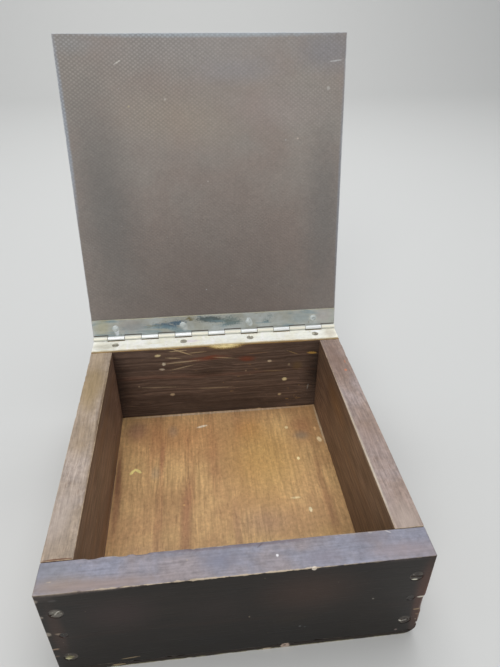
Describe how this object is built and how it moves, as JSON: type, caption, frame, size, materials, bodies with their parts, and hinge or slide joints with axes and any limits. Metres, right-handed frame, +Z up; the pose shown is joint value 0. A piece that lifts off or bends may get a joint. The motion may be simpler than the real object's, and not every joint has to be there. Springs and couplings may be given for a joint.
{
  "type": "hinged wooden box",
  "caption": "Rectangular box of four thick dark-stained boards on a thin plywood base, with a thin hardboard lid that swings on a continuous steel hinge along its back edge.",
  "frame": {"origin": "centre of the box's rectangular footprint, on its underside, so the lid, which stands open behind the box, doesn't move it", "axes": "+Z up; +X to the right along the width as seen from the front; +Y from the front board to the hinge at the back"},
  "size_m": [0.187, 0.2455, 0.2705],
  "materials": {
    "end_boards": "old dark brown varnish, worn at the edges, semi-gloss",
    "side_boards": "thin brown stain on a softwood, worn and matt on the top edges",
    "base_panel": "orange-brown stained plywood, satin, scuffed",
    "lid_panel": "brown hardboard with the screen-pressed mesh on its inner face",
    "box_leaf": "plated sheet steel with yellowed varnish and tarnish",
    "lid_leaf": "plated sheet steel, dull, stained",
    "hinge_pin": "drawn steel wire, dull",
    "leaf_screws": "tarnished slotted screws",
    "rivets": "dull aluminium",
    "corner_screws": "browned slotted screws, varnished over",
    "corner_nails": "dark rusted nail heads",
    "base_nails": "dull panel pins"
  },
  "bodies": {
    "box": {"front_board": "end_boards", "back_board": "end_boards", "left_side_board": "side_boards", "right_side_board": "side_boards", "base_panel": "base_panel", "hinge_box_leaf": "box_leaf", "hinge_pin": "hinge_pin", "box_leaf_screw_1": "leaf_screws", "box_leaf_screw_2": "leaf_screws", "box_leaf_screw_3": "leaf_screws", "box_leaf_screw_4": "leaf_screws", "front_screw_left_upper": "corner_screws", "front_screw_left_lower": "corner_screws", "front_screw_right_upper": "corner_screws", "front_screw_right_lower": "corner_screws", "back_screw_left_upper": "corner_screws", "back_screw_left_lower": "corner_screws", "back_screw_right_upper": "corner_screws", "back_screw_right_lower": "corner_screws", "front_nail_left": "corner_nails", "front_nail_right": "corner_nails", "back_nail_left": "corner_nails", "back_nail_right": "corner_nails", "base_nails": "base_nails"},
    "lid": {"lid_panel": "lid_panel", "hinge_lid_leaf": "lid_leaf", "lid_leaf_rivet_1": "rivets", "lid_leaf_rivet_2": "rivets", "lid_leaf_rivet_3": "rivets", "lid_leaf_rivet_4": "rivets"}
  },
  "joints": [
    {"name": "lid_hinge", "type": "hinge", "parent": "box", "child": "lid", "pos_m": [0, 0.1008, 0.0701], "axis": [1, 0, 0], "range_deg": [0, 101.6]}
  ]
}
